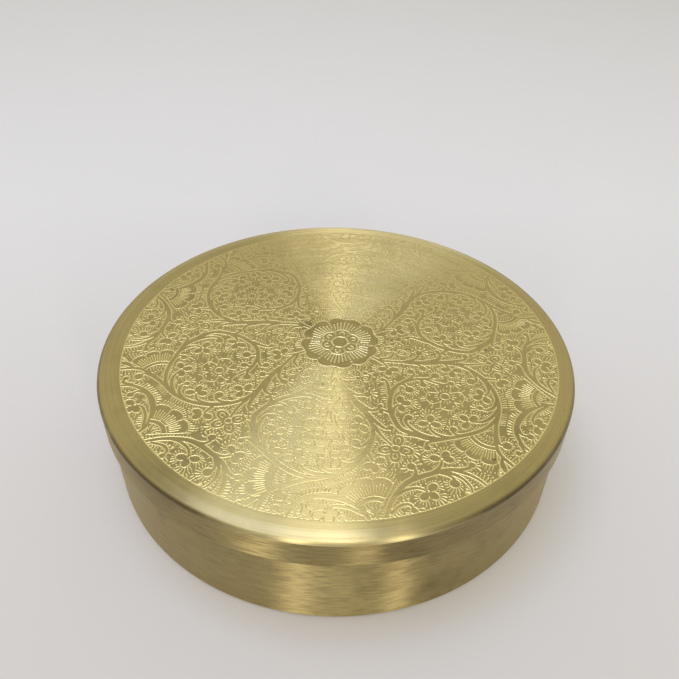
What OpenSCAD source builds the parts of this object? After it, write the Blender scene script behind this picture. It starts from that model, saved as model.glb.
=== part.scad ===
// Round brass spice box: an outer box, a slip lid that covers its rim, seven small
// cups that stand inside and a spoon that lies across their rims.
// Millimetres, +Z up. The origin is the centre of the underside, where the box stands.

/* [Box] */
// Outside diameter of the box's wall
box_d = 200; // [120:1:300]
// Height of the box's own rim above its underside
box_h = 48.5; // [36:0.5:100]
// Thickness of the sheet that the box is spun from
box_sheet = 1.2; // [0.8:0.1:2]
// Outside radius of the corner between wall and underside
box_corner_r = 1.6; // [0.8:0.1:6]

/* [Lid] */
// Thickness of the sheet that the lid is spun from
lid_sheet = 1.2; // [0.8:0.1:2]
// Gap between the box's wall and the lid's skirt, on each side
lid_slip = 0.3; // [0.2:0.05:0.6]
// How far the skirt reaches down over the box, from the box's rim
skirt_depth = 12; // [6:0.5:20]
// Outside radius of the edge between lid top and skirt
lid_edge_r = 1.6; // [1:0.1:2.5]
// Width of the plain band outside the ornamented face
lid_band_w = 8.2; // [5:0.1:14]
// How far that band falls from the face to the edge
lid_band_drop = 0.8; // [0.2:0.1:1.2]

/* [Cups] */
// Gap between one cup's rim and the next, and between the rims and the box's wall
cup_gap = 0.8; // [0.4:0.1:3]
// Wall thickness of a cup
cup_sheet = 0.8; // [0.5:0.1:1.2]
// Radius of the rolled bead round a cup's rim
cup_bead_r = 1.1; // [0.9:0.1:1.6]
// Outside radius of the corner between a cup's wall and its base
cup_corner_r = 5; // [1.5:0.5:8]
// Height from the cups' rims to the box's rim, where the spoon lies
headroom = 11.3; // [6:0.1:16]

/* [Spoon] */
// Radius of the spoon's bowl at its mouth
bowl_r = 13; // [8:0.5:15]
// Depth of the bowl
bowl_depth = 6; // [4:0.5:8]
// Thickness of the spoon's sheet
spoon_sheet = 1.1; // [0.8:0.1:1.5]
// Width of the handle where it leaves the bowl
neck_w = 4.6; // [3:0.1:7]
// Width of the handle at its round end
grip_w = 8.4; // [5:0.1:12]
// Gap between the spoon's handle and the rims under it
spoon_lift = 0.3; // [0.2:0.05:0.5]

/* [Hidden] */
$fn = 96;

ring_count = 6; // cups round the middle one, which only close up at six
ring_step = 360 / ring_count;
spoon_cup = 6; // the ring cup that the spoon's handle lies over

box_r = box_d / 2;
box_bore_r = box_r - box_sheet;
lid_bore_r = box_r + lid_slip;
lid_r = lid_bore_r + lid_sheet;
lid_top_z = box_h + lid_sheet + lid_band_drop;
skirt_z = box_h - skirt_depth;
face_r = lid_r - lid_band_w;

// Three rims and two gaps fill the box from its centre to its wall.
cup_r = (box_bore_r - 2 * cup_gap) / 3;
ring_r = 2 * cup_r + cup_gap;
cup_z = box_sheet;
cup_h = box_h - headroom - cup_z;
cup_wall_r = cup_r - cup_bead_r;

spoon_z = cup_z + cup_h + spoon_lift;
spoon_top_z = spoon_z + spoon_sheet;
bowl_ball_r = (bowl_r * bowl_r + bowl_depth * bowl_depth) / (2 * bowl_depth);
handle_end = ring_r + cup_r - cup_bead_r; // over the far rim of its ring cup

brass = "#a8924f";
brass_pale = "#b9a564";
brass_spoon = "#c2ad6a";

// Half section of a can with its closed end down and a round corner of radius c
module can_section(r, h, c) {
    square([r - c, h]);
    translate([0, c]) square([r, h - c]);
    translate([r - c, c]) circle(c);
}

// Half section of a drawn can: the outer can less the same can one sheet further in
module drawn_section(r, h, c, sheet) {
    inner_c = max(c - sheet, sheet / 4);
    difference() {
        can_section(r, h, c);
        translate([0, sheet]) can_section(r - sheet, h, inner_c);
    }
}

module box() {
    color(brass)
        rotate_extrude()
            drawn_section(box_r, box_h, box_corner_r, box_sheet);
}

// Half section of the lid's outside: a flat face, a band that falls a little and a round edge
module lid_outside() {
    edge_z = lid_top_z - lid_band_drop;
    polygon([[0, skirt_z], [lid_r, skirt_z], [lid_r, edge_z - lid_edge_r],
             [lid_r - lid_edge_r, edge_z], [face_r, lid_top_z], [0, lid_top_z]]);
    translate([lid_r - lid_edge_r, edge_z - lid_edge_r]) circle(lid_edge_r);
}

// Half section of the lid's hollow: it seats flat on the box's rim and rises inside it
module lid_inside() {
    seat_r = box_bore_r - lid_slip;
    face_in_r = min(face_r, seat_r) - lid_sheet;
    polygon([[0, skirt_z - lid_sheet], [lid_bore_r, skirt_z - lid_sheet], [lid_bore_r, box_h],
             [seat_r, box_h], [face_in_r, lid_top_z - lid_sheet], [0, lid_top_z - lid_sheet]]);
}

module lid() {
    color(brass)
        rotate_extrude()
            difference() {
                lid_outside();
                lid_inside();
            }
}

// One cup standing at the origin: a drawn can with a rolled bead round its rim
module cup() {
    rotate_extrude() {
        drawn_section(cup_wall_r, cup_h - cup_bead_r, cup_corner_r, cup_sheet);
        translate([cup_wall_r, cup_h - cup_bead_r]) circle(cup_bead_r);
    }
}

module centre_cup() {
    color(brass_pale)
        translate([0, 0, cup_z]) cup();
}

// The ring's cups are numbered anticlockwise from +X
module ring_cup(n) {
    color(brass_pale)
        rotate([0, 0, (n - 1) * ring_step])
            translate([ring_r, 0, cup_z]) cup();
}

// The bowl is part of a hollow ball, cut off level with the handle's upper face
module spoon_bowl() {
    rotate_extrude()
        intersection() {
            difference() {
                translate([0, spoon_top_z - bowl_depth + bowl_ball_r]) circle(bowl_ball_r);
                translate([0, spoon_top_z - bowl_depth + bowl_ball_r]) circle(bowl_ball_r - spoon_sheet);
            }
            translate([0, spoon_top_z - bowl_depth]) square([bowl_r, bowl_depth]);
        }
}

// The flat handle widens from the neck to a round end, and stops at the inside of the bowl
module spoon_handle() {
    grip_r = grip_w / 2;
    difference() {
        translate([0, 0, spoon_z])
            linear_extrude(spoon_sheet) {
                polygon([[bowl_r - spoon_sheet, -neck_w / 2], [handle_end - grip_r, -grip_r],
                         [handle_end - grip_r, grip_r], [bowl_r - spoon_sheet, neck_w / 2]]);
                translate([handle_end - grip_r, 0]) circle(grip_r);
            }
        translate([0, 0, spoon_top_z - bowl_depth + bowl_ball_r])
            sphere(bowl_ball_r - spoon_sheet);
    }
}

module spoon() {
    color(brass_spoon)
        rotate([0, 0, (spoon_cup - 1) * ring_step]) {
            spoon_bowl();
            spoon_handle();
        }
}

box();
lid();
centre_cup();
ring_cup(1);  // ring_cup_1
ring_cup(2);  // ring_cup_2
ring_cup(3);  // ring_cup_3
ring_cup(4);  // ring_cup_4
ring_cup(5);  // ring_cup_5
ring_cup(6);  // ring_cup_6
spoon();
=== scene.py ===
import math
import bpy
import numpy as np
from mathutils import Matrix, Vector


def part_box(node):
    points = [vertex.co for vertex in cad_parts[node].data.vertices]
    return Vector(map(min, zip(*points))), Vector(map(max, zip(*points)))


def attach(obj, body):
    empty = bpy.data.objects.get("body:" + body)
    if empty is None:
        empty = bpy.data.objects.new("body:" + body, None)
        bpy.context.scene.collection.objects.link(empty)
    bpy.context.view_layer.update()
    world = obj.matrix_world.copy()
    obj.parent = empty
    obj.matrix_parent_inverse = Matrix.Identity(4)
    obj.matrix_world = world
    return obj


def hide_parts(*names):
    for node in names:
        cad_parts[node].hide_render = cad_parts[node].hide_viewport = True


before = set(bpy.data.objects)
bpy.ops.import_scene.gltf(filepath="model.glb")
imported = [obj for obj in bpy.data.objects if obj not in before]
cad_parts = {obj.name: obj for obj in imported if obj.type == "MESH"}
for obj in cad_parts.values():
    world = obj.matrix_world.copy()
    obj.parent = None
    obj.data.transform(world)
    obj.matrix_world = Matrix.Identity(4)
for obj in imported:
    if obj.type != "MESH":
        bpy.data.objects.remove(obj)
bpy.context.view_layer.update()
mm = 0.001
scene = bpy.context.scene
print("frame loaded:", len(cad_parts), "parts")


# small helpers
def lowHigh(node):
    # corners of a frame part, in millimetres
    low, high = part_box(node)
    return np.array(low) / mm, np.array(high) / mm


def hexColour(text):
    # sRGB hex to linear red, green, blue and alpha
    srgb = [int(text[i:i + 2], 16) / 255 for i in (1, 3, 5)]
    return [c / 12.92 if c < 0.04045 else ((c + 0.055) / 1.055) ** 2.4 for c in srgb] + [1.0]


def setInputs(tree, node, inputs):
    # inputs by name or by position (in0), each a value, a socket or a node whose first output is meant
    for name, value in inputs.items():
        key = int(name[2:]) if name.startswith("in") else name.replace("_", " ")
        if isinstance(value, bpy.types.Node):
            value = value.outputs[0]
        if isinstance(value, bpy.types.NodeSocket):
            tree.links.new(value, node.inputs[key])
        else:
            node.inputs[key].default_value = value


def addNode(tree, kind, settings=None, **inputs):
    # one node with its settings and links
    node = tree.nodes.new(kind)
    for name, value in (settings or {}).items():
        setattr(node, name, value)
    setInputs(tree, node, inputs)
    return node


def newMaterial(name):
    material = bpy.data.materials.new(name)
    material.use_nodes = True
    return material, material.node_tree


def doMath(tree, operation, a, b=0.0, clamp=False):
    return addNode(tree, "ShaderNodeMath", {"operation": operation, "use_clamp": clamp}, in0=a, in1=b)


def vectorMath(tree, operation, a, **inputs):
    return addNode(tree, "ShaderNodeVectorMath", {"operation": operation}, in0=a, **inputs)


def remap(tree, value, given, wanted=(0.0, 1.0), settings=None):
    # a value carried from one range into another
    return addNode(tree, "ShaderNodeMapRange", settings, Value=value, From_Min=given[0], From_Max=given[1],
                   To_Min=wanted[0], To_Max=wanted[1])


def noise(tree, place, scale, detail, roughness=0.5):
    return addNode(tree, "ShaderNodeTexNoise", Vector=place, Scale=scale, Detail=detail,
                   Roughness=roughness)


def mixColours(tree, share, first, second):
    mix = addNode(tree, "ShaderNodeMix", {"data_type": "RGBA"}, in0=share, in6=first, in7=second)
    return mix.outputs[2]


def unitVector(degrees):
    return np.array([math.cos(math.radians(degrees)), math.sin(math.radians(degrees))])


def turned(points, degrees):
    c, s = unitVector(degrees)
    p = np.asarray(points, float).reshape(-1, 2)
    return np.stack([p[:, 0] * c - p[:, 1] * s, p[:, 0] * s + p[:, 1] * c], 1)


# camera
cameraPlace = {
    "tilt": 40.85,          # degrees above the floor, from the aim point
    "distance": 298.4,      # mm
    "aimHeight": 40.6,      # mm
    "lens": 35.31,
    "turnX": -0.211,        # small turns of the hand-held camera, degrees
    "turnY": 1.621,
    "roll": -1.087,
}


def makeCamera(c):
    tilt = math.radians(c["tilt"])
    back = Vector((0, -math.cos(tilt), math.sin(tilt)))
    right, up = Vector((1, 0, 0)), Vector((0, math.sin(tilt), math.cos(tilt)))
    axes = [right, up, back]
    for angle, k in ((c["turnX"], 1), (c["turnY"], 0), (-c["roll"], 2)):
        spin = Matrix.Rotation(math.radians(angle), 3, axes[k])
        axes = [spin @ a for a in axes]
    data = bpy.data.cameras.new("camera")
    data.sensor_width = 36
    data.lens = c["lens"]
    data.clip_start = 0.01
    camera = bpy.data.objects.new("camera", data)
    scene.collection.objects.link(camera)
    turn = Matrix(axes).transposed()
    spot = Vector((0, 0, c["aimHeight"])) + back * c["distance"]
    camera.matrix_world = Matrix.Translation(spot * mm) @ turn.to_4x4()
    scene.camera = camera


makeCamera(cameraPlace)
print("camera placed")


# mesh helpers
def makePiece(name, points, groups, materials, body, stands, place=(0, 0, 0)):
    # points in mm; each group is (faces, material number, smooth)
    groups = [(np.asarray(f), m, s) for f, m, s in groups if len(f)]
    sizes = np.concatenate([np.full(len(f), f.shape[1]) for f, m, s in groups])
    mesh = bpy.data.meshes.new(name)
    mesh.vertices.add(len(points))
    mesh.vertices.foreach_set("co", (np.asarray(points) * mm).astype(np.float32).ravel())
    corners = np.concatenate([f.ravel() for f, m, s in groups])
    mesh.loops.add(len(corners))
    mesh.loops.foreach_set("vertex_index", corners.astype(np.int32))
    mesh.polygons.add(len(sizes))
    mesh.polygons.foreach_set("loop_start", (np.cumsum(sizes) - sizes).astype(np.int32))
    numbers = np.concatenate([np.full(len(f), m) for f, m, s in groups])
    mesh.polygons.foreach_set("material_index", numbers.astype(np.int32))
    mesh.polygons.foreach_set("use_smooth", np.concatenate([np.full(len(f), s) for f, m, s in groups]))
    mesh.update(calc_edges=True)
    mesh.validate()
    for material in materials:
        mesh.materials.append(material)
    piece = bpy.data.objects.new(name, mesh)
    piece.location = Vector(place) * mm
    scene.collection.objects.link(piece)
    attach(piece, body)
    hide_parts(stands)
    return piece


def roundedProfile(corners, support=0.25, turns=7):
    # (radius from axis, height, corner radius) points to an even outline, with a support point
    # before and after each bend
    path = []
    pts = [np.array(c[:2], float) for c in corners]
    for i, corner in enumerate(corners):
        bend = corner[2] if len(corner) > 2 else 0
        if bend == 0 or i in (0, len(corners) - 1):
            path.append(pts[i])
            continue
        a = pts[i - 1] - pts[i]
        b = pts[i + 1] - pts[i]
        a, b = a / np.hypot(*a), b / np.hypot(*b)
        half = math.acos(np.clip(a @ b, -1, 1)) / 2
        reach = bend / math.tan(half)
        middle = pts[i] + (a + b) / np.hypot(*(a + b)) * bend / math.sin(half)
        start, end = pts[i] + a * reach - middle, pts[i] + b * reach - middle
        sweep = math.pi - 2 * half
        path.append(pts[i] + a * (reach + support))
        for k in range(turns + 1):
            t = k / turns
            spoke = math.sin((1 - t) * sweep) * start + math.sin(t * sweep) * end
            path.append(middle + spoke / math.sin(sweep))
        path.append(pts[i] + b * (reach + support))
    return path


def lathe(profile, around, first=0):
    # turns an outline (radius, height) round Z by a count of even steps or by given angles;
    # returns points, faces and the number of each ring's first point
    points = []
    rings = []
    angles = np.arange(around) * 2 * np.pi / around if np.isscalar(around) else np.asarray(around)
    around = len(angles)
    count = first
    for r, z in profile:
        rings.append((count, r < 1e-6))
        if r < 1e-6:
            points.append([[0, 0, z]])
            count += 1
        else:
            points.append(np.stack([r * np.cos(angles), r * np.sin(angles), np.full(around, z)], 1))
            count += around
    quads, fans = [], []
    k = np.arange(around)
    n = (k + 1) % around
    for (a, aPole), (b, bPole) in zip(rings, rings[1:]):
        if aPole:
            fans.append(np.stack([np.full(around, a), b + n, b + k], 1))
        elif bPole:
            fans.append(np.stack([a + k, a + n, np.full(around, b)], 1))
        else:
            quads.append(np.stack([a + k, a + n, b + n, b + k], 1))
    return np.vstack(points), np.vstack(quads), np.vstack(fans) if fans else [], [a for a, pole in rings]


# brass
brassFinish = {
    "colour": "#e0cc8c",      # yellow brass, about 65 parts copper to 35 zinc, a little dulled
    "etched": "#f4e3a2",      # etched brass, paler where the acid has opened the grain
    "bright": "#fdf0bc",      # the middle flower's lines, which stay cleanest
    "brown": "#6a5526",       # tarnish, where it is handled; also the colour of painted shade and painted dark reflection
    "fineLine": 0.55,         # mm between brush lines; real grit leaves 0.05, drawn as coarse as can show
    "broadLine": 2.6,         # mm between the wider bands that the brush leaves
    "cloud": 38.0,            # mm across a patch of tarnish
    "speck": 9.0,             # mm between tarnish specks
    "acidGrain": 0.4,         # mm; acid leaves about 0.03, drawn as coarse as can show
    "markCore": 0.4,          # share of a stain's radius that is at full strength
}
# painted dark reflection along the lid's rounded edge: it thickens between two radii, and is kept off the
# front, where the edge is lit, out to the place at the side (mm in front of the axis)
edgeDarkReflection = {"from": 99.8, "to": 101.2, "strength": 0.95, "litFront": 98.0, "side": 90.0}
# painted shadow: a dark line round the box, just under the height where the lid's skirt ends, standing in
# for the shade in the gap
# under the skirt: height, half width and soft edge, and the radius outside which it shows, in mm
seamShadow = {"height": 35.3, "core": 0.4, "soft": 1.1, "strength": 0.85, "outside": 99.4}
# years of polishing left the etching shallower behind: from and to, in mm, and how much of it is left
rubbedBehind = {"from": -5.0, "to": 75.0, "left": 0.1}
# stains on the lid's face: place and radius in mm, and how strong
lidMarks = [((57.7, -65.6), 1.0, 0.95), ((64.7, -4.1), 0.7, 0.8), ((-5.4, -27.6), 0.6, 0.9),
            ((-12.5, 8.5), 9.0, 0.5)]


def flatPlace(tree):
    # place on a piece, the same without its height, and how far that is from the axis
    place = addNode(tree, "ShaderNodeTexCoord").outputs["Object"]
    flat = vectorMath(tree, "MULTIPLY", place, in1=(1, 1, 0))
    return place, flat, vectorMath(tree, "LENGTH", flat).outputs["Value"]


def roundAxis(tree, lineWidth, arc):
    # coordinates that run along a turned piece's brush lines: long way round, short way across
    place, flat, radius = flatPlace(tree)
    height = addNode(tree, "ShaderNodeSeparateXYZ", Vector=place).outputs["Z"]
    across = doMath(tree, "MULTIPLY", doMath(tree, "ADD", radius, height), 1 / (lineWidth * mm))
    ways = vectorMath(tree, "SCALE", vectorMath(tree, "NORMALIZE", flat), Scale=arc / 6)
    parts = addNode(tree, "ShaderNodeSeparateXYZ", Vector=ways).outputs
    return addNode(tree, "ShaderNodeCombineXYZ", X=parts["X"], Y=parts["Y"], Z=across)


def tarnishAndShade(tree, place, cloud, fine, paintedShade):
    # thin tarnish in patches with rare specks, and dirt left in the brush lines; the dulling share adds
    # painted shade, an even darkening all over
    spots = addNode(tree, "ShaderNodeTexVoronoi", Vector=place, Scale=1 / (brassFinish["speck"] * mm))
    speck = remap(tree, spots, (0.018, 0.05), (0.75, 0.0))
    rare = addNode(tree, "ShaderNodeSeparateXYZ", Vector=spots.outputs["Color"])
    speck = doMath(tree, "MULTIPLY", speck, doMath(tree, "GREATER_THAN", rare, 0.93))
    patchy = remap(tree, cloud, (0.52, 0.8), (paintedShade, paintedShade + 0.35))
    dirt = remap(tree, fine, (0.35, 0.6), (0.22, 0.0))
    return doMath(tree, "ADD", doMath(tree, "MAXIMUM", speck, patchy), dirt, clamp=True)


# painted dark reflection: darkens the lid's rounded edge, least at the front
def edgeReflectionMask(tree, place, radius, cloud):
    e = edgeDarkReflection
    edge = remap(tree, radius, (e["from"] * mm, e["to"] * mm), (0.0, e["strength"]))
    edge = doMath(tree, "MULTIPLY", edge, remap(tree, cloud, (0.34, 0.52), (0.5, 1.0)))
    behind = addNode(tree, "ShaderNodeSeparateXYZ", Vector=place).outputs["Y"]
    kept = remap(tree, behind, (-e["litFront"] * mm, -e["side"] * mm), (0.05, 1.0))
    return doMath(tree, "MULTIPLY", edge, kept)


# painted shadow: darkens the box's wall in a line just under the lid's skirt
def seamShadowLine(tree, place, radius):
    s = seamShadow
    height = addNode(tree, "ShaderNodeSeparateXYZ", Vector=place).outputs["Z"]
    away = doMath(tree, "ABSOLUTE", doMath(tree, "SUBTRACT", height, s["height"] * mm))
    line = remap(tree, away, (s["core"] * mm, s["soft"] * mm), (s["strength"], 0.0))
    return doMath(tree, "MULTIPLY", line, doMath(tree, "GREATER_THAN", radius, s["outside"] * mm))


def markStain(tree, flat, spot, size, strength):
    away = vectorMath(tree, "DISTANCE", flat, in1=(spot[0] * mm, spot[1] * mm, 0)).outputs["Value"]
    return remap(tree, away, (size * brassFinish["markCore"] * mm, size * mm), (strength, 0.0))


def brushedBrass(name, roughness=(0.33, 0.47), anisotropic=1.0, lean=0.25, arc=14, darkEdge=False,
                 marks=(), seam=False, paintedShade=0.0, bumpHeight=0.02, lacquer=0.6):
    # spun sheet brass, brushed on the lathe: the brush lines run round the axis and spread
    # each light into a streak across them, with soft dull and bright bands along them
    b = brassFinish
    material, tree = newMaterial(name)
    fine = noise(tree, roundAxis(tree, b["fineLine"], arc), 1.0, 2.0, 0.6)
    broad = noise(tree, roundAxis(tree, b["broadLine"], arc / 3), 1.0, 2.0, 0.55)
    both = addNode(tree, "ShaderNodeMix", {"data_type": "FLOAT"}, Factor=0.45, in2=fine, in3=broad)
    rough = remap(tree, both, (0.35, 0.65), roughness)
    place, flat, radius = flatPlace(tree)
    cloud = noise(tree, place, 1 / (b["cloud"] * mm), 4.0, 0.6)
    stainAndShade = tarnishAndShade(tree, place, cloud, fine, paintedShade)
    others = [edgeReflectionMask(tree, place, radius, cloud)] if darkEdge else []
    others += [seamShadowLine(tree, place, radius)] if seam else []
    others += [markStain(tree, flat, *mark) for mark in marks]
    for other in others:
        stainAndShade = doMath(tree, "MAXIMUM", stainAndShade, other)
    # the brown mix carries real tarnish, dirt and stains together with painted shade, painted dark
    # reflection and the painted seam shadow
    tint = mixColours(tree, stainAndShade, hexColour(b["colour"]), hexColour(b["brown"]))
    bump = addNode(tree, "ShaderNodeBump", Strength=0.5, Distance=bumpHeight * mm, Height=both)
    around = addNode(tree, "ShaderNodeTangent", {"direction_type": "RADIAL", "axis": "Z"})
    setInputs(tree, tree.nodes["Principled BSDF"], {
        "Base Color": tint, "Roughness": rough, "Normal": bump, "Tangent": around,
        "Metallic": 1.0, "Anisotropic": anisotropic, "Anisotropic Rotation": lean,
        "Coat Weight": lacquer, "Coat Roughness": 0.3})     # clear lacquer over the metal
    return material


def etchedBrass(name, colour):
    # brass eaten back by acid: an open, frosty grain that scatters light, so it looks pale
    # from the sides and dull inside a highlight
    b, r = brassFinish, rubbedBehind
    material, tree = newMaterial(name)
    place = addNode(tree, "ShaderNodeTexCoord").outputs["Object"]
    grain = noise(tree, place, 1 / (b["acidGrain"] * mm), 2.0, 0.7)
    # the plain metal's colour comes back where the grain is closed and where the lines are shallow
    closed = remap(tree, grain, (0.4, 0.7), (0.0, 0.5))
    behind = addNode(tree, "ShaderNodeSeparateXYZ", Vector=place).outputs["Y"]
    rubbed = remap(tree, behind, (r["from"] * mm, r["to"] * mm), (0.0, 1 - r["left"]))
    plain = doMath(tree, "MAXIMUM", closed, rubbed)
    tint = mixColours(tree, plain, hexColour(colour), hexColour(b["colour"]))
    rough = remap(tree, grain, (0.3, 0.7), (0.40, 0.50))
    bump = addNode(tree, "ShaderNodeBump", Strength=0.3, Distance=0.03 * mm, Height=grain)
    setInputs(tree, tree.nodes["Principled BSDF"], {
        "Base Color": tint, "Roughness": rough, "Normal": bump, "Metallic": 1.0})
    return material


# the lid's lacquer is nearly whole; its etched lines are bare metal
# its rounded edge gets the painted dark reflection
lidBrass = brushedBrass("lathe brushed brass, lid", darkEdge=True, marks=lidMarks, lacquer=0.9)
lidEtch = etchedBrass("acid etched brass", brassFinish["etched"])
flowerEtch = etchedBrass("acid etched brass, cleaner", brassFinish["bright"])
# rubbed smooth by the palm: no streak, so it mirrors what is darker round the box; painted shade darkens
# it further
flowerBrass = brushedBrass("rubbed brass, middle of the lid", roughness=(0.16, 0.24), anisotropic=0.0,
                           paintedShade=0.24, marks=lidMarks)
# the walls: painted shade makes them duller, with coarser brush lines and less lacquer left
skirtBrass = brushedBrass("lathe brushed brass, skirt", lean=0.214, arc=90, paintedShade=0.50, bumpHeight=0.05,
                          lacquer=0.3)
# with the painted shadow line under the lid's skirt
boxBrass = brushedBrass("lathe brushed brass, box", arc=90, seam=True, paintedShade=0.38, bumpHeight=0.05,
                        lacquer=0.3)
# buffed on a cloth wheel: finer lines and sharper lights
cupBrass = brushedBrass("buffed brass, cups", roughness=(0.22, 0.30), anisotropic=0.7, arc=30,
                        bumpHeight=0.006)
spoonBrass = brushedBrass("buffed brass, spoon", roughness=(0.20, 0.28), anisotropic=0.0, bumpHeight=0.004)
print("brass mixed:", len(bpy.data.materials), "materials")


# The lid's ornament: one sixth of it, in millimetres, seen with its medallion straight ahead on +Y.
# A shape is left standing and a line, a dot or a dash is etched.
ornament = {
    "turn": -69.0,           # degrees from the drawing to the lid
    "shift": (1.3, -0.5),    # how far off the lid's axis the drawing sits
    "radius": 93.3,          # its border line
    "line": 0.52,            # width of an etched line
    "stemWidth": 0.86,       # share of the widths in the stems' list
    "depth": 0.24,           # of the deepest grooves, and how steeply their sides fall
    "slope": 1.0,
    "dashPitch": 1.18,       # background dashes: spacing, length of a row and width
    "dashRow": 2.45,
    "dashLine": 0.50,
    "dashSlant": 0.42,
    "dashGap": 0.10,         # between the ends of two rows
    "seam": 0.35,            # plain strip where two shapes' dashes meet
    "widest": 0.66,          # where the acid would reach further from an edge, the middle is left standing
    "borderLine": 0.45,
    "margin": 0.9,           # plain ring of mesh outside the border line
    "step": 0.30,            # mesh step, and how near a mesh point an edge may pass
    "snap": 0.012,
}
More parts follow.
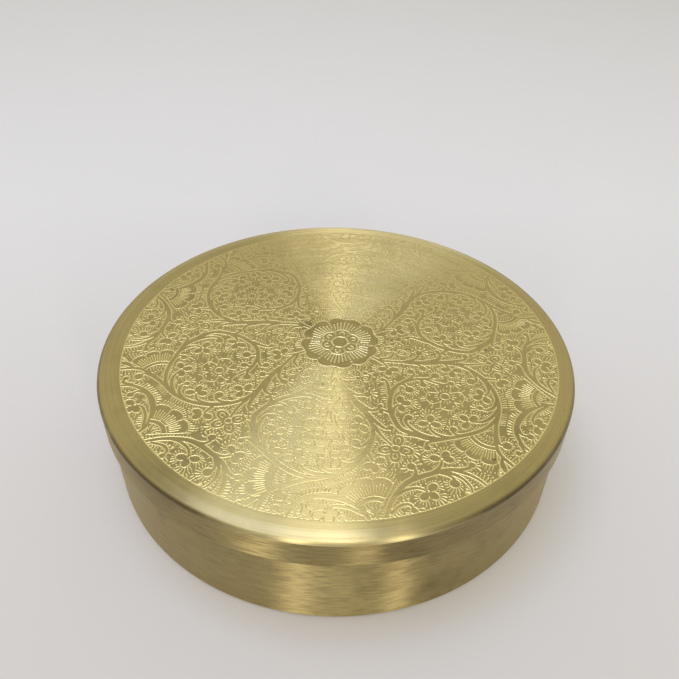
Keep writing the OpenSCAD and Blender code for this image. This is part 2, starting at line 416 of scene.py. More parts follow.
# stems: points along the middle, half widths from start to end, radius of the bud at the end
stems = [
    # the trunk, from the middle flower round the medallion to the border, and its thorns
    ([(-1, 17), (-2, 21.5), (-5, 26), (-9, 31), (-13, 36), (-17, 41), (-20, 46), (-21.2, 52), (-20.5, 58),
      (-18.5, 63.5), (-14, 69.5), (-8, 74), (-1, 76.8), (6, 80.3), (11.5, 85), (13.8, 92.5)],
     (0.6, 1.0, 0.7), 0),
    ([(-9, 31), (-12, 36), (-17, 41), (-20.5, 48)], (0.3, 1.5, 0.3), 0),
    ([(-7.5, 29.5), (-12.5, 31.6), (-16.3, 30.6)], (1.1, 0.7, 0.5), 1.4),
    ([(-8, 30.5), (-9.8, 34.5), (-9, 37.5)], (1.0, 0.6, 0.5), 1.4),
    ([(-17, 41), (-21.5, 45), (-25.5, 47.8), (-27.3, 47)], (1.3, 0.9, 0.5), 1.2),
    ([(-13, 36), (-18, 39), (-21, 38.3), (-22.2, 36)], (1.2, 0.9, 0.5), 0.9),
    # the ring round the right of the medallion
    ([(-8, 74), (-2, 75.6), (4, 74.8), (9.5, 72.3), (15, 68.5), (20, 65), (24.3, 62), (26.4, 63.4)],
     (0.7, 0.9, 0.5), 1.2),
    ([(18, 66.3), (21.5, 62), (23.8, 57), (27, 53)], (0.5, 1.5, 0.15), 0),
    ([(23.5, 57), (25, 51), (23.2, 46.5), (19.5, 41.5), (15, 38), (9, 35.5), (3.5, 36), (-1, 38.5),
      (-4, 41.8), (-5, 46), (-6.6, 49.5), (-8.8, 51.5)], (1.1, 1.0, 0.4), 1.2),
    ([(20, 64.5), (22, 59), (22.3, 54), (21.2, 50.3), (19, 48.6)], (0.9, 0.7, 0.6), 0),
    ([(21.5, 50.8), (20, 48.8), (18.2, 49.4)], (0.6, 0.6, 0.5), 1.5),
    ([(13.5, 69.3), (16.6, 67), (18.4, 63), (18, 59.5), (15.8, 57.2)], (0.5, 0.7, 0.4), 0),
    ([(11, 71.2), (13.6, 68.7), (13.6, 66.4), (12.3, 65.8)], (0.4, 0.6, 0.5), 1.3),
    ([(12.5, 35.9), (9, 32.8), (6.9, 29.9), (7.4, 28.8)], (0.9, 0.7, 0.5), 1.0),
    ([(21.5, 44), (17.5, 42), (14.3, 42.4)], (0.8, 0.6, 0.4), 0),
    ([(4.2, 36), (4.4, 38.5), (5.2, 40.5)], (0.8, 0.6, 0.5), 1.7),
    ([(-2.5, 39.8), (-5.6, 43), (-8.6, 43.9)], (0.9, 0.6, 0.5), 1.6),
    ([(-3, 40.6), (-0.9, 43.2)], (0.8, 0.6), 1.35),
    ([(3, 36), (-1.5, 37), (-4.1, 36.4), (-4.1, 34.6)], (0.7, 0.6, 0.5), 1.4),
    ([(20.5, 42.3), (21.6, 38.5), (22.8, 39.4)], (0.9, 0.6, 0.4), 0.9),
    # sprigs inside the medallion
    ([(-21, 53.5), (-18.8, 57.3), (-16.4, 58.6), (-15.3, 57)], (0.8, 0.6, 0.5), 1.7),
    ([(-20.2, 58), (-18, 62.6), (-14.5, 65.8), (-11, 65.3)], (0.8, 0.6, 0.4), 0),
    ([(-8, 73.6), (-3, 73.7), (1.5, 72.3), (4.6, 68.6)], (0.8, 0.7, 0.4), 0),
    ([(-12, 70.8), (-8, 71.6), (-4.8, 70.2), (-4.3, 67.6)], (0.8, 0.6, 0.4), 1.1),
    ([(-16.6, 39.8), (-17.4, 43), (-15.9, 46.6)], (0.7, 0.5, 0.4), 0),
    # between the medallion and its neighbours
    ([(-20.7, 61), (-23.2, 65)], (0.7, 0.4), 0),
    ([(-21.2, 47), (-24, 51.2), (-28.6, 55.6)], (0.9, 0.6, 0.4), 0),
    ([(-1.3, 18.5), (-1, 23.5), (0.3, 26.4)], (0.6, 0.5, 0.4), 0),
    ([(-2.6, 20.2), (-5.6, 22.8), (-9.6, 22.4)], (0.7, 0.6, 0.4), 0),
    ([(12.6, 21), (11.6, 24), (8.6, 23.4), (9, 20.9)], (0.5, 0.6, 0.5), 1.0),
    # leaves and stems along the border
    ([(-25.5, 90.5), (-21.5, 85.6), (-15, 82.9), (-8, 82.6), (-2, 84.8), (2, 89), (3.2, 92.8)],
     (0.6, 1.4, 0.5), 0),
    ([(-22.5, 87.6), (-17, 86), (-12, 86.4), (-9.9, 88.6)], (0.6, 0.6, 0.4), 0),
    ([(-5, 83.6), (-2.3, 86.8), (-3.4, 90)], (0.7, 0.6, 0.5), 1.3),
    ([(0.5, 77.4), (5, 80.3), (7.4, 83), (6.4, 85.5)], (0.9, 0.7, 0.5), 1.7),
    ([(2.4, 88.6), (5, 91.9), (6.9, 90.4)], (0.7, 0.6, 0.4), 1.1),
    ([(13.2, 87), (15.8, 88.8), (18.4, 92.3)], (0.4, 1.2, 0.5), 0),
    ([(62, 70.5), (56, 68), (50, 66.8), (44, 67), (38.5, 69.4), (33.5, 72.5), (30, 75), (27.5, 78),
      (24.8, 80), (22.8, 80.2)], (0.6, 1.2, 0.6), 1.2),
    ([(33, 73), (30.9, 76.5), (30.3, 81), (31.6, 85), (33.2, 86.6)], (0.9, 0.6, 0.3), 0),
    ([(28.8, 76.6), (27.2, 82), (27, 86), (27.7, 89.8)], (0.9, 0.6, 0.4), 0),
    ([(33.5, 72.8), (32.2, 76), (32.4, 78.6), (33.9, 79.9)], (0.7, 0.6, 0.5), 1.7),
    ([(37, 70.6), (31.5, 71.9), (27.6, 70.6)], (0.8, 0.6, 0.4), 0),
    ([(52, 67.3), (47.5, 68.4), (44, 71), (42.8, 74.5)], (0.5, 0.6, 0.4), 0),
    ([(45, 66.9), (40, 67.2), (37.7, 65.8), (37.5, 63.9)], (0.8, 0.6, 0.5), 1.5),
    ([(58.5, 70.3), (54, 70.8), (51.4, 73), (52.5, 75.6)], (0.5, 0.6, 0.4), 1.1),
]
# three-lobed sprigs: place, and the way each lobe points in degrees; a lobe's place and half widths
sprigLobe = {"end": (2.6, 1.8, 1.4), "neck": (1.0, 1.3, 0.7), "dot": 1.25}
sprigs = [
    ((-15.9, 47.2), (128, 40, -60)), ((-11, 65.3), (62, -35, -115)), ((4.9, 68.2), (168, 2, -98)),
    ((15.5, 57.1), (112, 205, -45)), ((14.2, 42.4), (140, 50, 215)), ((0.4, 26.5), (118, 40, -45)),
    ((-23.2, 65.2), (105, 45, 215)), ((27.5, 70.4), (125, 182, -60)), ((42.8, 74.7), (175, 85, 5)),
    ((-9.8, 89), (130, 40, 185)),
]
# flowers with looped petals: place, radius of the disc, length of a petal, and the way each points
loopFlowers = [
    ((-30.2, 56.8), 1.1, 5.6, (93, 172, 262, 20)),
    ((-11.2, 21.8), 0.9, 4.2, (98, 185, 292)),
]
# fans: place, radii of hub, arc, dashes and edge, the angles they span, and the scallops
fans = [
    ((-26.6, 87.2), (5.6, 7.6, 13.2, 15.6), (-107, -22), 3),
    ((3.2, 77.4), (8.0, 9.9, 15.0, 16.9), (-31, 36), 3),
]
medallionFlower = {"place": (-0.8, 53.7), "ways": (122, 48, -42, -138)}
# radii in mm; each ring of petals is a radius and how far its petals stand out from it
middleFlower = {
    "disc": 3.5,
    "inner": (6.6, 1.9),
    "rays": (9.0, 14.2),
    "outer": (14.4, 2.6),
    "line": 0.7,
    "reach": 17.1,          # of the brass that is rubbed brighter
}


class Drawing:
    # what every mesh point needs to know: distance to the nearest and next shapes, its place in
    # the row of dashes round the nearest one, and the distance to the nearest line inside a shape
    def __init__(self, points):
        self.points = points
        self.near = np.full(len(points), 99.0)
        self.next = np.full(len(points), 99.0)
        self.along = np.zeros(len(points))
        self.line = np.full(len(points), 99.0)

    def around(self, low, high, reach):
        p = self.points
        inside = (p > np.min(low, 0) - reach).all(1) & (p < np.max(high, 0) + reach).all(1)
        return np.flatnonzero(inside)

    def addShape(self, which, distance, along):
        closer = distance < self.near[which]
        k = which[closer]
        self.next[k] = self.near[k]
        self.near[k] = distance[closer]
        self.along[k] = along[closer]
        k = which[~closer]
        self.next[k] = np.minimum(self.next[k], distance[~closer])

    def addLine(self, a, b, width):
        a, b = np.asarray(a, float), np.asarray(b, float)
        which = self.around([a, b], [a, b], 1.5)
        span, v = b - a, self.points[which] - a
        t = np.clip(v @ span / (span @ span + 1e-12), 0, 1)
        distance = np.hypot(*(v - t[:, None] * span).T) - width / 2
        self.line[which] = np.minimum(self.line[which], distance)

    def addPath(self, points, width):
        for a, b in zip(points, points[1:]):
            self.addLine(a, b, width)


def smoothPath(points, spacing):
    # an even run of points on a smooth curve through the given ones
    p = np.asarray(points, float)
    p = np.vstack([2 * p[0] - p[1], p, 2 * p[-1] - p[-2]])
    t = np.linspace(0, 1, 12, endpoint=False)[:, None]
    runs = []
    for a, b, c, d in zip(p, p[1:], p[2:], p[3:]):
        runs.append(0.5 * (2 * b + (c - a) * t + (2 * a - 5 * b + 4 * c - d) * t**2
                           + (3 * b - a - 3 * c + d) * t**3))
    curve = np.vstack(runs + [p[-2:-1]])
    s = np.r_[0, np.cumsum(np.hypot(*np.diff(curve, axis=0).T))]
    even = np.linspace(0, s[-1], max(2, round(s[-1] / spacing) + 1))
    return np.stack([np.interp(even, s, curve[:, 0]), np.interp(even, s, curve[:, 1])], 1)


def arcPoints(centre, radius, first, last):
    ways = np.linspace(first, last, max(3, int(abs(last - first) / 9)))
    return [np.array(centre) + radius * unitVector(w) for w in ways]


def dashesRound(distance, angle, radius):
    # place in a row of dashes that runs round a centre, a whole number of them to each row
    o = ornament
    row = np.floor(np.maximum(distance - o["line"], 0) / o["dashRow"])
    count = np.round(2 * np.pi * (radius + (row + 0.5) * o["dashRow"]) / o["dashPitch"] / 6) * 6
    return angle / (2 * np.pi) * count


def drawStem(d, path, halfWidths, bud):
    middle = smoothPath(path, 0.9)
    which = d.around(middle, middle, 9)
    if len(which) == 0:
        return
    p = d.points[which]
    widths = np.interp(np.linspace(0, 1, len(middle)), np.linspace(0, 1, len(halfWidths)), halfWidths)
    widths *= ornament["stemWidth"]
    best, along = np.full(len(which), 99.0), np.zeros(len(which))
    walked = 0
    for a, b, wa, wb in zip(middle, middle[1:], widths, widths[1:]):
        span, v = b - a, p - a
        length = np.hypot(*span)
        t = np.clip(v @ span / length**2, 0, 1)
        distance = np.hypot(*(v - t[:, None] * span).T) - (wa + (wb - wa) * t)
        side = np.sign(v[:, 0] * span[1] - v[:, 1] * span[0])
        closer = distance < best
        best[closer] = distance[closer]
        along[closer] = ((walked + t * length) / ornament["dashPitch"] + 0.25 * side)[closer]
        walked += length
    d.addShape(which, best, along)
    if bud:
        drawOval(d, middle[-1], bud, bud, 0)


def drawOval(d, centre, long, short, way):
    centre = np.asarray(centre, float)
    which = d.around([centre], [centre], long + 9)
    v = turned(d.points[which] - centre, -way)
    k = np.hypot(v[:, 0] / long, v[:, 1] / short) + 1e-9
    slope = np.hypot(v[:, 0] / long**2, v[:, 1] / short**2) / k + 1e-9
    distance = (k - 1) / slope
    angle = np.arctan2(v[:, 1], v[:, 0])
    d.addShape(which, distance, dashesRound(distance, angle, (long + short) / 2))


def drawSprig(d, centre, ways):
    for way in ways:
        for out, long, short in (sprigLobe["end"], sprigLobe["neck"]):
            drawOval(d, centre + out * unitVector(way), long, short, way)
    d.addLine(centre, centre + 0.01, sprigLobe["dot"])


def drawLoopFlower(d, centre, disc, length, ways):
    for way in ways:
        ahead, aside = unitVector(way), unitVector(way + 90)
        middle = centre + ahead * (disc + length / 2)
        drawOval(d, middle, length / 2, length * 0.36, way)
        bends = [unitVector(w) for w in np.linspace(-150, 150, 9)]
        d.addPath([middle + length * (0.24 * ahead * b[0] + 0.17 * aside * b[1]) for b in bends],
                  ornament["line"] * 0.85)
    drawOval(d, centre, disc, disc, 0)
    d.addPath(arcPoints(centre, disc + 0.25, 0, 360), ornament["line"] * 0.8)


def drawFan(d, centre, radii, span, scallops):
    hub, arc, dash, edge = radii
    line = ornament["line"]
    first, last = span
    each = (last - first) / scallops
    which = d.around([centre], [centre], edge + 9)
    v = d.points[which] - centre
    r = np.hypot(*v.T)
    angle = np.degrees(np.arctan2(v[:, 1], v[:, 0]))
    off = (angle - (first + last) / 2 + 180) % 360 - 180
    half = (last - first) / 2
    across = (off + half) / each % 1
    rim = edge - 1.3 * np.abs(2 * across - 1) ** 3
    distance = np.maximum(r - rim, np.radians(np.abs(off) - half) * np.maximum(r, 1))
    d.addShape(which, distance, dashesRound(distance, np.radians(angle), edge))
    d.addPath(arcPoints(centre, hub, first, last), line)
    d.addPath(arcPoints(centre, arc, first, last), line)
    for k in range(1, scallops):
        way = unitVector(first + k * each)
        d.addLine(centre + way * arc, centre + way * (edge - 1.2), line)
    rays = 4
    for k in range(scallops):
        for j in range(rays):
            share = (j + 0.5) / rays
            way = unitVector(first + (k + 0.1 + 0.8 * share) * each)
            d.addLine(centre + way * (arc + 0.9), centre + way * (dash - 1.5 * abs(2 * share - 1)), line)
    for ring, lean in ((hub * 0.52, 7), (hub * 0.8, -7)):
        count = int(ring * math.radians(last - first) / 1.15)
        for j in range(count):
            way = first + (j + 0.5) * (last - first) / count
            low = centre + (ring - 0.8) * unitVector(way)
            high = centre + (ring + 0.6) * unitVector(way + lean)
            d.addLine(low, high, line * 0.85)


def drawMiddleFlower(d):
    f = middleFlower
    line = f["line"]
    which = d.around([(0, 0)], [(0, 0)], 27)
    p = d.points[which]
    r, angle = np.hypot(*p.T), np.degrees(np.arctan2(p[:, 1], p[:, 0]))
    across = (angle - 60) % 60 / 60
    lobes = np.abs(np.sin(2 * np.pi * across)) ** 0.55
    rim = f["outer"][0] + f["outer"][1] * lobes
    rim = np.where(np.abs(across - 0.5) < 0.25, np.maximum(rim, f["outer"][0] + 1.7), rim)
    d.addShape(which, r - rim, dashesRound(r - rim, np.radians(angle), 17))
    ring = np.abs(r - f["disc"]) - line / 2
    inner = f["inner"][0] + f["inner"][1] * np.abs(np.cos(np.pi * (across - 0.5))) ** 0.6
    ring = np.minimum(ring, np.abs(r - inner) - line / 2)
    d.line[which] = np.minimum(d.line[which], ring)
    for k in range(-1, 3):
        way = 30 + 60 * k
        ahead, aside = unitVector(way), unitVector(way + 90)
        bends = [unitVector(w) for w in np.linspace(-120, 120, 9)]
        d.addPath([ahead * (5.9 + 1.2 * b[0]) + aside * 1.05 * b[1] for b in bends], line * 0.8)
        for j in range(-3, 4):
            ray = unitVector(way + j * 7.3)
            d.addLine(ray * f["rays"][0], ray * (f["rays"][1] - 0.4 * abs(j) ** 1.3), line * 0.85)
        side = unitVector(way + 30)
        d.addLine(side * f["disc"], side * (f["outer"][0] + 0.2), line * 1.15)


def drawMedallionFlower(d, centre, ways):
    line = ornament["line"]
    for way in ways:
        ahead, aside = unitVector(way), unitVector(way + 90)
        drawOval(d, centre + ahead * 4.6, 2.9, 2.7, way)
        for side in (-1, 1):
            drawOval(d, centre + ahead * 5.4 + aside * 1.5 * side, 1.5, 1.5, 0)
            dot = centre + ahead * 5.9 + aside * 1.75 * side
            d.addLine(dot, dot + 0.01, 0.85)
        for j, end in ((-1, 3.9), (0, 4.4), (1, 3.9)):
            ray = unitVector(way + 20 * j)
            d.addLine(centre + ray * 2.9, centre + ray * end, line * 0.85)
    drawOval(d, centre, 3.0, 3.0, 0)
    d.addPath(arcPoints(centre, 1.85, 0, 360), line)


def etchDistance(points):
    # below zero where the acid has eaten the brass, for points of the sixth round +Y
    o = ornament
    d = Drawing(points)
    for turn in (-60, 0, 60):
        for path, halfWidths, bud in stems:
            drawStem(d, turned(path, turn), halfWidths, bud)
        for centre, ways in sprigs:
            drawSprig(d, turned(centre, turn)[0], [w + turn for w in ways])
        for centre, disc, length, ways in loopFlowers:
            drawLoopFlower(d, turned(centre, turn)[0], disc, length, [w + turn for w in ways])
        for centre, radii, span, scallops in fans:
            drawFan(d, turned(centre, turn)[0], radii, (span[0] + turn, span[1] + turn), scallops)
        f = medallionFlower
        drawMedallionFlower(d, turned(f["place"], turn)[0], [w + turn for w in f["ways"]])
    drawMiddleFlower(d)
    # rows of slanted dashes behind the shapes, each row leaning the other way
    depth = d.near - o["line"]
    row = np.floor(depth / o["dashRow"])
    part = depth / o["dashRow"] - row
    lean = np.where(row % 2 == 0, o["dashSlant"], -o["dashSlant"])
    along = d.along + lean * (part - 0.5) + 0.5 * (row % 2)
    dash = np.abs(along - np.round(along)) * o["dashPitch"] - o["dashLine"] / 2
    dash = np.maximum(dash, o["dashGap"] - (0.5 - np.abs(part - 0.5)) * o["dashRow"])
    dash = np.maximum(dash, (o["seam"] - (d.next - d.near)) / 2)
    dash = np.where(depth > 0, dash, 99)
    outline = np.abs(d.near - o["line"] / 2) - o["line"] / 2
    etch = np.where(d.near < 0, np.minimum(d.line, -d.near), np.minimum(np.minimum(outline, dash), d.line))
    r = np.hypot(*points.T)
    border = np.abs(r - o["radius"] + o["borderLine"] / 2) - o["borderLine"] / 2
    return np.where(r > o["radius"] - o["borderLine"], border, np.minimum(etch, border))


def hexLattice(step, radius):
    # points of a triangular mesh as (q, r) counts, which turn by sixths onto themselves
    n = int(radius / step * 2 / math.sqrt(3)) + 2
    q, r = (a.ravel() for a in np.meshgrid(np.arange(-n, n + 1), np.arange(-n, n + 1), indexing="ij"))
    x, y = (q + r / 2) * step, r * step * math.sqrt(3) / 2
    keep = np.hypot(x, y) <= radius
    return q[keep], r[keep], np.stack([x, y], 1)[keep], n


def etchField():
    # the mesh points of the whole ornament with their etch distances, and all its triangles
    o = ornament
    q, r, place, n = hexLattice(o["step"], o["radius"] + o["margin"])
    number = np.full((2 * n + 3, 2 * n + 3), -1)
    number[q + n + 1, r + n + 1] = np.arange(len(q))
    angle = np.degrees(np.arctan2(place[:, 1], place[:, 0])) % 360
    sixth = (angle >= 60) & (angle < 120)
    etch = np.full(len(q), 99.0)
    found = etchDistance(place[sixth])
    sq, sr = q[sixth], r[sixth]
    for k in range(6):
        etch[number[sq + n + 1, sr + n + 1]] = found
        sq, sr = -sr, sq + sr
    etch = np.maximum(etch, -o["widest"] - etch)
    etch = np.where(np.abs(etch) < o["snap"], o["snap"] * np.where(etch < 0, -1, 1), etch)
    # the two triangles beside each mesh point
    i, j = q + n + 1, r + n + 1
    up = np.stack([number[i, j], number[i + 1, j], number[i, j + 1]], 1)
    down = np.stack([number[i, j], number[i + 1, j - 1], number[i + 1, j]], 1)
    triangles = np.vstack([up, down])
    return place, etch, triangles[(triangles >= 0).all(1)]


def cutTriangles(place, etch, triangles):
    # cuts the mesh along the shapes' edges: returns its points and the standing and the eaten faces,
    # each as triangles and four-sided ones
    low = etch < 0
    wet = low[triangles]
    count = wet.sum(1)
    standing, eaten = triangles[count == 0], triangles[count == 3]
    # triangles on a shape's edge: turn each so that its odd corner comes first
    edge = triangles[(count == 1) | (count == 2)]
    odd = low[edge] == (low[edge].sum(1) == 1)[:, None]
    first = odd.argmax(1)
    rows = np.arange(len(edge))
    a, b, c = (edge[rows, (first + k) % 3] for k in range(3))
    pairs = np.sort(np.vstack([np.stack([a, b], 1), np.stack([a, c], 1)]), 1)
    codes, back = np.unique(pairs[:, 0] * len(place) + pairs[:, 1], return_inverse=True)
    s, e = codes // len(place), codes % len(place)
    t = (etch[s] / (etch[s] - etch[e]))[:, None]
    cuts = place[s] + t * (place[e] - place[s])
    cut = len(place) + back
    cutToB, cutToC = cut[:len(edge)], cut[len(edge):]
    pick = low[a]
    tips, ends = np.stack([a, cutToB, cutToC], 1), np.stack([cutToB, b, c, cutToC], 1)
    standing = np.vstack([standing, tips[~pick]])
    eaten = np.vstack([eaten, tips[pick]])
    return np.vstack([place, cuts]), (standing, ends[pick]), (eaten, ends[~pick])


def etchedFace(faceZ):
    # the ornamented disc as points, groups of faces and the points of its edge
    o = ornament
    place, etch, triangles = etchField()
    flat, standing, eaten = cutTriangles(place, etch, triangles)
    # a line's sides slope down to its middle
    low = etch < 0
    height = np.full(len(flat), faceZ)
    behind = turned(place[low], o["turn"])[:, 1]
    rubbed = np.interp(behind, (rubbedBehind["from"], rubbedBehind["to"]), (1.0, rubbedBehind["left"]))
    height[:len(place)][low] -= np.minimum(o["depth"], -etch[low] * o["slope"]) * rubbed
    # the edge, drawn out to a true circle
    sides = np.vstack([triangles[:, [0, 1]], triangles[:, [1, 2]], triangles[:, [2, 0]]])
    keys = sides[:, 0] * len(place) + sides[:, 1]
    lone = ~np.isin(keys, sides[:, 1] * len(place) + sides[:, 0])
    rim = np.unique(sides[lone])
    flat[rim] *= ((o["radius"] + o["margin"]) / np.hypot(*flat[rim].T))[:, None]
    points = np.column_stack([flat, height])
    groups = []
    for kinds, outside, inside, smooth in ((eaten, 1, 4, True), (standing, 0, 2, False)):
        for faces in kinds:
            middle = np.hypot(*flat[faces].mean(1).T) < middleFlower["reach"]
            groups += [(faces[~middle], outside, smooth), (faces[middle], inside, smooth)]
    return points, groups, rim


def sortedRound(points, which):
    return which[np.argsort(np.arctan2(points[which, 1], points[which, 0]))]


def joinRings(points, inner, outer):
    # triangles between two rings of points round Z, each given anticlockwise
    turn = 2 * np.pi
    a = np.unwrap(np.arctan2(points[inner, 1], points[inner, 0]))
    b = np.arctan2(points[outer, 1], points[outer, 0])
    start = int(np.argmin(np.abs((b - a[0] + np.pi) % turn - np.pi)))
    outer = np.roll(outer, -start)
    b = np.unwrap(np.roll(b, -start))
    b += turn * round((a[0] - b[0]) / turn)
    i = j = 0
    faces = []
    while i < len(inner) or j < len(outer):
        nextA = a[i + 1] if i + 1 < len(inner) else a[0] + turn
        nextB = b[j + 1] if j + 1 < len(outer) else b[0] + turn
        p, q = inner[i % len(inner)], outer[j % len(outer)]
        if j >= len(outer) or (i < len(inner) and nextA < nextB):
            faces.append((p, q, inner[(i + 1) % len(inner)]))
            i += 1
        else:
            faces.append((p, q, outer[(j + 1) % len(outer)]))
            j += 1
    return np.array(faces)


lidShape = {
    "sheet": 1.2,
    "slip": 0.3,            # gap to the box's wall
    "bandStart": 96.6,      # where the plain band starts to fall, after the drawn-out circle
    "bandDrop": 0.8,
    "bandCurve": 1.6,       # 1 is a straight slope
    "edgeRadius": 1.6,
    "hollowSlope": 5.5,     # how far in from the seat the hollow reaches its full height
    "hollowRadius": 2.0,
    "lip": 0.35,            # rounding of the skirt's cut edge
    "seatRadii": (0.2, 0.3),    # bends outside and inside the box's rim
    "around": 720,
}
boxShape = {"sheet": 1.2, "cornerRadius": 1.6, "innerRadius": 0.6, "lip": 0.35, "around": 720}


def makeLid():
    s = lidShape
    low, high = lowHigh("lid")
    boxHigh = lowHigh("box")[1]
    outer, top, bottom = high[0], high[2], low[2]
    bore = boxHigh[0] + s["slip"]
    edgeZ = top - s["bandDrop"]
    seat = boxHigh[0] - s["sheet"] - s["slip"]
    hollow = top - s["sheet"]
    points, groups, rim = etchedFace(top)
    points[:, :2] = turned(points[:, :2], ornament["turn"]) + ornament["shift"]
    fall = outer - s["edgeRadius"]
    band = [(s["bandStart"] + t * (fall - s["bandStart"]), top - s["bandDrop"] * t ** s["bandCurve"])
            for t in np.linspace(0, 1, 7)]
    profile = band[:-1] + roundedProfile([
        band[-2], (outer, edgeZ - 0.05, s["edgeRadius"]), (outer, bottom, s["lip"]),
        (bore, bottom, s["lip"]), (bore, boxHigh[2], s["seatRadii"][0]),
        (seat, boxHigh[2], s["seatRadii"][1]),
        (seat - s["hollowSlope"], hollow, s["hollowRadius"]), (0, hollow)])[1:]
    shell, quads, fans, rings = lathe(profile, s["around"], first=len(points))
    points = np.vstack([points, shell])
    ring = rings[0] + np.arange(s["around"])
    joint = joinRings(points, sortedRound(points, rim), ring)
    skirt = points[quads, 2].max(1) < edgeZ - s["edgeRadius"] + 0.1
    groups += [(joint, 0, True), (quads[~skirt][:, ::-1], 0, True), (quads[skirt][:, ::-1], 3, True),
               (fans[:, ::-1], 0, True)]
    materials = [lidBrass, lidEtch, flowerBrass, skirtBrass, flowerEtch]
    return makePiece("lid_shell", points, groups, materials, "lid", "lid")


def makeBox():
    s = boxShape
    high = lowHigh("box")[1]
    inside = high[0] - s["sheet"]
    profile = roundedProfile([
        (0, 0), (high[0], 0, s["cornerRadius"]), (high[0], high[2], s["lip"]), (inside, high[2], s["lip"]),
        (inside, s["sheet"], s["innerRadius"]), (0, s["sheet"])])
    points, quads, fans, _ = lathe(profile, s["around"])
    return makePiece("box_shell", points, [(quads, 0, True), (fans, 0, True)], [boxBrass], "box",
                     "box")


cupShape = {"sheet": 0.8, "bead": 1.1, "cornerRadius": 5.0, "around": 160}


def makeCup(node):
    # a drawn can whose rim is rolled outwards to a bead
    s = cupShape
    low, high = lowHigh(node)
    middle = (low + high) / 2
    wall = high[0] - middle[0] - s["bead"]
    inside = wall - s["sheet"]
    base, beadZ = low[2], high[2] - s["bead"]
    inner = 360 - math.degrees(math.acos((inside - wall) / s["bead"]))
    bead = [np.array([wall, beadZ]) + s["bead"] * unitVector(a) for a in np.linspace(-90, inner, 25)]
    profile = roundedProfile([(0, base), (wall, base, s["cornerRadius"]), bead[0]]) + bead[1:]
    profile += roundedProfile([
        bead[-1], (inside, base + s["sheet"], s["cornerRadius"] - s["sheet"]), (0, base + s["sheet"])])[1:]
    points, quads, fans, _ = lathe(profile, s["around"])
    return makePiece(node + "_shell", points, [(quads, 0, True), (fans, 0, True)], [cupBrass], node,
                     node, place=(middle[0], middle[1], 0))


spoonShape = {
    "bowlRadius": 13.0,
    "bowlDepth": 6.0,
    "sheet": 1.1,
    "neck": 4.6,            # width of the handle at the bowl and at its round end
    "grip": 8.4,
    "flare": (1.6, 2.2),    # how much wider each side is at the bowl, and over what length that fades
    "nearBowl": (14.2, 15.4, 17, 19, 22),   # places of the first stations along the handle
    "end": 96.9,            # from the bowl's centre to the tip
    "way": 300,             # degrees from +X
    "edge": 0.45,           # rounding of the handle's edges
    "across": 8,            # faces across the handle
}


def makeSpoon():
    # one sheet: the bowl is turned, and the handle grows out of its rim
    s = spoonShape
    top = lowHigh("spoon")[1][2]
    ball = (s["bowlRadius"]**2 + s["bowlDepth"]**2) / (2 * s["bowlDepth"])
    centreZ = top - s["bowlDepth"] + ball
    inner = ball - s["sheet"]

    def onBall(radius, z):
        return math.sqrt(radius**2 - (centreZ - z) ** 2)

    inside = [(inner * math.sin(a), centreZ - inner * math.cos(a))
              for a in np.linspace(0, math.asin(onBall(inner, top - 0.4) / inner), 12)]
    outside = [(ball * math.sin(a), centreZ - ball * math.cos(a))
               for a in np.linspace(math.asin(onBall(ball, top - s["sheet"]) / ball), 0, 12)]
    corners = roundedProfile([inside[-1], (onBall(inner, top), top, 0.2), (s["bowlRadius"], top, 0.12),
                              outside[0]], support=0.05, turns=4)
    profile = inside[:-1] + corners + outside[1:]
    profile = [np.asarray(p, float) for p in profile]
    first = len(inside) - 1
    # the rim's outer edge in the profile, and how far down it the handle's underside meets it
    upper = first + max(k for k, c in enumerate(corners) if abs(c[1] - top) < 1e-6)
    lower = first + len(corners) - 1
    n = s["across"]
    zone = np.arcsin(np.linspace(-1, 1, n + 1) * (s["neck"] / 2 - s["edge"]) / profile[upper][0])
    angles = np.r_[zone, np.linspace(zone[-1], 2 * np.pi + zone[0], 97)[1:-1]]
    points, quads, fans, rings = lathe(profile, angles)
    column = np.tile(np.arange(len(angles)), len(quads) // len(angles))
    step = np.repeat(np.arange(len(quads) // len(angles)), len(angles)) + 1
    mouth = (column < n) & (step >= upper) & (step < lower)
    quads = quads[~mouth]
    # each station round the handle: over the top, down one edge, back under, up the other edge
    between = range(upper + 1, lower)
    ring = np.array([rings[upper] + k for k in range(n + 1)] + [rings[b] + n for b in between]
                    + [rings[lower] + k for k in range(n, -1, -1)] + [rings[b] for b in reversed(between)])
    flat = np.linspace(-1, 1, n + 1)
    bend = np.pi * np.arange(1, len(between) + 1) / (len(between) + 1)
    half, grip = s["sheet"] / 2, s["grip"] / 2
    ends, rim = s["end"] - grip, s["bowlRadius"]
    wider, fade = s["flare"]
    along = [(x, s["neck"] / 2 + wider * math.exp(-(x - rim) / fade)
              + (grip - s["neck"] / 2) * (x - rim) / (ends - rim))
             for x in np.r_[s["nearBowl"][:-1], np.linspace(s["nearBowl"][-1], ends, 16)]]
    along += [(ends + grip * math.sin(a), grip * math.cos(a)) for a in np.linspace(0.12, 1.45, 12)]
    handle = []
    for x, width in along:
        edge = min(s["edge"], width * 0.6)
        side = [(width - edge + edge * math.sin(b), half * math.cos(b)) for b in bend]
        loop = [(y * (width - edge), half) for y in flat] + side
        loop += [(y * (width - edge), -half) for y in flat[::-1]] + [(-y, z) for y, z in side[::-1]]
        start = len(points) + sum(len(h) for h in handle)
        handle.append(np.array([(x, y, top - half + z) for y, z in loop]))
        after = start + np.arange(len(loop))
        quads = np.vstack([quads, np.stack([ring, after, np.roll(after, -1), np.roll(ring, -1)], 1)])
        ring = after
    points = np.vstack([points] + handle)
    points[:, :2] = turned(points[:, :2], s["way"])
    return makePiece("spoon_sheet", points, [(quads, 0, True), (fans, 0, True), (ring[None, :], 0, True)],
                     [spoonBrass], "spoon", "spoon")


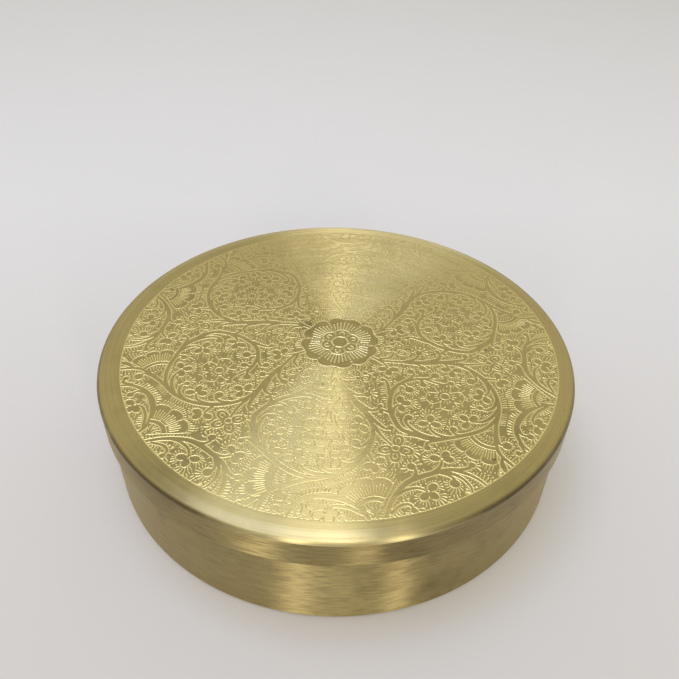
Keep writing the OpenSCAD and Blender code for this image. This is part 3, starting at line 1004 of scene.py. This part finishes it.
lidShell = makeLid()
print("lid turned and etched:", len(lidShell.data.polygons), "faces")
makeBox()
for cupName in ["centre_cup"] + [f"ring_cup_{k}" for k in range(1, 7)]:
    makeCup(cupName)
makeSpoon()
print("box, cups and spoon made")


# floor and lights
studio = {
    "floor": "#f3f0f4",
    "floorHalf": 15.0,         # metres
    "floorNearShade": "#ddd8d7",    # painted shade: the card's colour towards the camera, darker where less light reaches
    "nearFrom": 0.22,          # metres behind the axis and in front of it between which it changes
    "nearTo": 0.17,
    "mottle": 60.0,            # mm across a patch of its faint mottle
    "backdrop": "#dcdcde",     # what shows past the floor
    "room": "#fffbe0",         # its walls' colour
    "aimHeight": 0.04,         # metres above the floor that the lamps face
    "ceiling": 0.56,           # brightness of the room overhead, low behind and low in front
    "behind": 0.54,
    "front": 0.16,
}


def makeFloor():
    mesh = bpy.data.meshes.new("floor")
    half = studio["floorHalf"]
    corners = [(-half, -half, 0), (half, -half, 0), (half, half, 0), (-half, half, 0)]
    mesh.from_pydata(corners, [], [(0, 1, 2, 3)])
    # matt card: light spreads evenly from it, with a faint mottle, and painted shade darkens it towards
    # the camera
    material, tree = newMaterial("matt white card")
    place = addNode(tree, "ShaderNodeTexCoord").outputs["Object"]
    behind = addNode(tree, "ShaderNodeSeparateXYZ", Vector=place).outputs["Y"]
    near = remap(tree, behind, (studio["nearFrom"], -studio["nearTo"]))
    card = mixColours(tree, near, hexColour(studio["floor"]), hexColour(studio["floorNearShade"]))
    mottle = noise(tree, place, 1 / (studio["mottle"] * mm), 3.0)
    tint = vectorMath(tree, "SCALE", card, Scale=remap(tree, mottle, (0.0, 1.0), (0.98, 1.0)))
    setInputs(tree, tree.nodes["Principled BSDF"], {
        "Base Color": tint, "Roughness": 0.7, "Specular IOR Level": 0.2})
    mesh.materials.append(material)
    floor = bpy.data.objects.new("floor", mesh)
    scene.collection.objects.link(floor)


def makeRoom():
    # a pale room, bright overhead and darker low down, most of all in front
    world = bpy.data.worlds.new("room")
    world.use_nodes = True
    tree = world.node_tree
    place = addNode(tree, "ShaderNodeTexCoord").outputs["Generated"]
    way = addNode(tree, "ShaderNodeSeparateXYZ", Vector=place).outputs
    smooth = {"interpolation_type": "SMOOTHSTEP"}
    high = remap(tree, way["Z"], (0.0, 1.0), settings=smooth)
    low = remap(tree, way["Y"], (-0.5, 0.5), (studio["front"], studio["behind"]), smooth)
    light = addNode(tree, "ShaderNodeMix", {"data_type": "FLOAT"}, Factor=high, in2=low,
                    in3=studio["ceiling"])
    tinted = vectorMath(tree, "SCALE", hexColour(studio["room"])[:3], Scale=light)
    seen = addNode(tree, "ShaderNodeLightPath").outputs["Is Camera Ray"]
    colour = mixColours(tree, seen, tinted, hexColour(studio["backdrop"]))
    setInputs(tree, tree.nodes["Background"], {"Color": colour})
    scene.world = world


# way round in degrees (0 is the camera's side, 90 its right), degrees above the floor, metres away,
# width and height in metres, watts and colour
lamps = {
    "lamp left": (-14, 13, 1.8, (0.24, 0.8), 5.0, "#fffdf8"),
    "lamp right": (25, 13, 1.8, (0.20, 0.8), 5.0, "#fffdf8"),
    "ceiling front": (3, 58, 1.9, (0.5, 0.4), 6.0, "#fbfdff"),
    "overhead": (252, 80, 2.0, (0.9, 1.2), 13.2, "#cfdcff"),
}


def makeLight(name, way, tilt, distance, size, power, colour):
    # an area light that faces the box
    data = bpy.data.lights.new(name, "AREA")
    data.shape = "RECTANGLE"
    data.size, data.size_y = size
    data.energy = power
    data.color = hexColour(colour)[:3]
    light = bpy.data.objects.new(name, data)
    a, t = math.radians(way), math.radians(tilt)
    spot = Vector((math.sin(a) * math.cos(t), -math.cos(a) * math.cos(t), math.sin(t)))
    light.location = spot * distance + Vector((0, 0, studio["aimHeight"]))
    light.rotation_euler = spot.to_track_quat("Z", "Y").to_euler()
    scene.collection.objects.link(light)


makeFloor()
makeRoom()
scene.view_settings.view_transform = "Standard"
for lampName, lamp in lamps.items():
    makeLight(lampName, *lamp)
print("floor, room and lamps set")
